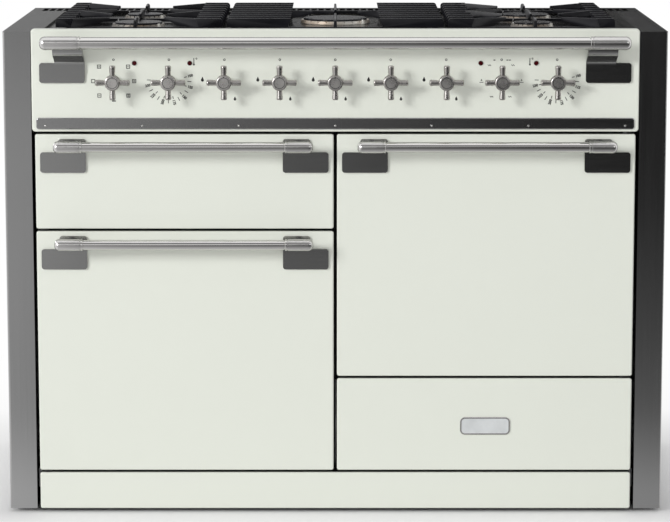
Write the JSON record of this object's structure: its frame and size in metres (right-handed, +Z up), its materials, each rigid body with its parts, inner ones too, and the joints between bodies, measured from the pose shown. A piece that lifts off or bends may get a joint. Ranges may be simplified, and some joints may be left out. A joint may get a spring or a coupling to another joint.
{
  "type": "range cooker",
  "caption": "Freestanding dual fuel range cooker with gas hob, side hung ovens, glide-out grill, storage drawer, handrail and cross-handle knobs.",
  "frame": {"origin": "on the floor, under the middle of the overall box", "axes": "+Z up, +X to the right of a person facing the front, the front faces -Y"},
  "size_m": [1.2, 0.659, 0.907],
  "materials": {
    "front_enamel": "gloss baked enamel, pale sage white",
    "casing_steel": "brushed",
    "trim_steel": "satin, dark",
    "polished_metal": "polished",
    "bracket_metal": "satin",
    "chassis_steel": "galvanised",
    "cavity_enamel": "vitreous enamel, dark",
    "wire_chrome": "plated wire",
    "seal_fibre": "woven fibre",
    "element_steel": "heat darkened",
    "motor_steel": "zinc plated",
    "fan_steel": "plain",
    "hob_steel": "satin",
    "vent_steel": "brushed",
    "cast_iron": "matt black",
    "burner_aluminium": "cast",
    "burner_cap_enamel": "enamelled",
    "valve_brass": "machined",
    "control_plastic": "moulded",
    "red_lens": "translucent red",
    "foot_plastic": "moulded black"
  },
  "bodies": {
    "cabinet": {"side_panels": "casing_steel", "chassis": "chassis_steel", "front_frame": "chassis_steel", "back_panel": "chassis_steel", "levelling_feet": "foot_plastic", "plinth_panel": "front_enamel", "left_oven_liner": "cavity_enamel", "right_oven_liner": "cavity_enamel", "grill_liner": "cavity_enamel", "oven_shelves": "wire_chrome", "oven_seals": "seal_fibre", "heating_elements": "element_steel", "fan_motors": "motor_steel", "hinge_brackets": "chassis_steel", "slide_runners": "chassis_steel", "fascia_panel": "front_enamel", "fascia_trim_strip": "trim_steel", "indicator_lenses": "red_lens", "handrail": "polished_metal", "handrail_brackets": "bracket_metal", "gas_rail": "valve_brass", "oven_controls": "control_plastic", "hob_tray": "hob_steel", "rear_vent_trim": "vent_steel", "burner_heads": "burner_aluminium", "burner_caps": "burner_cap_enamel"},
    "grill": {"grill_front": "front_enamel", "grill_carriage": "chassis_steel", "grill_pan": "cavity_enamel", "grill_handle": "polished_metal", "grill_handle_brackets": "bracket_metal"},
    "left_door": {"left_door_skin": "front_enamel", "left_door_liner": "cavity_enamel", "left_door_handle": "polished_metal", "left_door_handle_brackets": "bracket_metal"},
    "right_door": {"right_door_skin": "front_enamel", "right_door_liner": "cavity_enamel", "right_door_handle": "polished_metal", "right_door_handle_brackets": "bracket_metal"},
    "drawer": {"drawer_front": "front_enamel", "drawer_box": "chassis_steel"},
    "left_fan": {"left_oven_fan": "fan_steel"},
    "right_fan": {"right_oven_fan": "fan_steel"},
    "left_grate": {"left_pan_support": "cast_iron"},
    "centre_grate": {"centre_pan_support": "cast_iron"},
    "right_grate": {"right_pan_support": "cast_iron"},
    "knob_1": {"knob_1": "polished_metal"},
    "knob_2": {"knob_2": "polished_metal"},
    "knob_3": {"knob_3": "polished_metal"},
    "spindle_3": {"gas_spindle_3": "valve_brass"},
    "knob_4": {"knob_4": "polished_metal"},
    "spindle_4": {"gas_spindle_4": "valve_brass"},
    "knob_5": {"knob_5": "polished_metal"},
    "spindle_5": {"gas_spindle_5": "valve_brass"},
    "knob_6": {"knob_6": "polished_metal"},
    "spindle_6": {"gas_spindle_6": "valve_brass"},
    "knob_7": {"knob_7": "polished_metal"},
    "spindle_7": {"gas_spindle_7": "valve_brass"},
    "knob_8": {"knob_8": "polished_metal"},
    "knob_9": {"knob_9": "polished_metal"}
  },
  "joints": [
    {"name": "grill_slide", "type": "slide", "parent": "cabinet", "child": "grill", "axis": [0, -1, 0], "range_m": [0, 0.3]},
    {"name": "left_door_hinge", "type": "hinge", "parent": "cabinet", "child": "left_door", "pos_m": [-0.53, -0.2585, 0.525], "axis": [0, 0, -1], "range_deg": [0, 95]},
    {"name": "right_door_hinge", "type": "hinge", "parent": "cabinet", "child": "right_door", "pos_m": [0.53, -0.2585, 0.7025], "axis": [0, 0, 1], "range_deg": [0, 95]},
    {"name": "drawer_slide", "type": "slide", "parent": "cabinet", "child": "drawer", "axis": [0, -1, 0], "range_m": [0, 0.38]},
    {"name": "knob_turn_1", "type": "hinge", "parent": "cabinet", "child": "knob_1", "pos_m": [-0.4, -0.3055, 0.799], "axis": [0, 1, 0], "range_deg": [0, 315]},
    {"name": "knob_turn_2", "type": "hinge", "parent": "cabinet", "child": "knob_2", "pos_m": [-0.3, -0.3055, 0.799], "axis": [0, 1, 0], "range_deg": [0, 285]},
    {"name": "gas_push_3", "type": "slide", "parent": "cabinet", "child": "spindle_3", "axis": [0, 1, 0], "range_m": [0, 0.004], "stiffness_N_per_m": 900},
    {"name": "knob_turn_3", "type": "hinge", "parent": "spindle_3", "child": "knob_3", "pos_m": [-0.2, -0.3055, 0.799], "axis": [0, -1, 0], "range_deg": [0, 210]},
    {"name": "gas_push_4", "type": "slide", "parent": "cabinet", "child": "spindle_4", "axis": [0, 1, 0], "range_m": [0, 0.004], "stiffness_N_per_m": 900},
    {"name": "knob_turn_4", "type": "hinge", "parent": "spindle_4", "child": "knob_4", "pos_m": [-0.1, -0.3055, 0.799], "axis": [0, -1, 0], "range_deg": [0, 210]},
    {"name": "gas_push_5", "type": "slide", "parent": "cabinet", "child": "spindle_5", "axis": [0, 1, 0], "range_m": [0, 0.004], "stiffness_N_per_m": 900},
    {"name": "knob_turn_5", "type": "hinge", "parent": "spindle_5", "child": "knob_5", "pos_m": [0, -0.3055, 0.799], "axis": [0, -1, 0], "range_deg": [0, 210]},
    {"name": "gas_push_6", "type": "slide", "parent": "cabinet", "child": "spindle_6", "axis": [0, 1, 0], "range_m": [0, 0.004], "stiffness_N_per_m": 900},
    {"name": "knob_turn_6", "type": "hinge", "parent": "spindle_6", "child": "knob_6", "pos_m": [0.1, -0.3055, 0.799], "axis": [0, -1, 0], "range_deg": [0, 210]},
    {"name": "gas_push_7", "type": "slide", "parent": "cabinet", "child": "spindle_7", "axis": [0, 1, 0], "range_m": [0, 0.004], "stiffness_N_per_m": 900},
    {"name": "knob_turn_7", "type": "hinge", "parent": "spindle_7", "child": "knob_7", "pos_m": [0.2, -0.3055, 0.799], "axis": [0, -1, 0], "range_deg": [0, 210]},
    {"name": "knob_turn_8", "type": "hinge", "parent": "cabinet", "child": "knob_8", "pos_m": [0.3, -0.3055, 0.799], "axis": [0, 1, 0], "range_deg": [-150, 150]},
    {"name": "knob_turn_9", "type": "hinge", "parent": "cabinet", "child": "knob_9", "pos_m": [0.4, -0.3055, 0.799], "axis": [0, 1, 0], "range_deg": [0, 285]},
    {"name": "left_grate_lift", "type": "slide", "parent": "cabinet", "child": "left_grate", "axis": [0, 0, 1], "range_m": [0, 0.15]},
    {"name": "centre_grate_lift", "type": "slide", "parent": "cabinet", "child": "centre_grate", "axis": [0, 0, 1], "range_m": [0, 0.15]},
    {"name": "right_grate_lift", "type": "slide", "parent": "cabinet", "child": "right_grate", "axis": [0, 0, 1], "range_m": [0, 0.15]},
    {"name": "left_fan_spin", "type": "hinge", "parent": "cabinet", "child": "left_fan", "pos_m": [-0.2735, 0.2045, 0.3025], "axis": [0, -1, 0], "continuous": true},
    {"name": "right_fan_spin", "type": "hinge", "parent": "cabinet", "child": "right_fan", "pos_m": [0.2735, 0.2045, 0.4795], "axis": [0, -1, 0], "continuous": true}
  ]
}
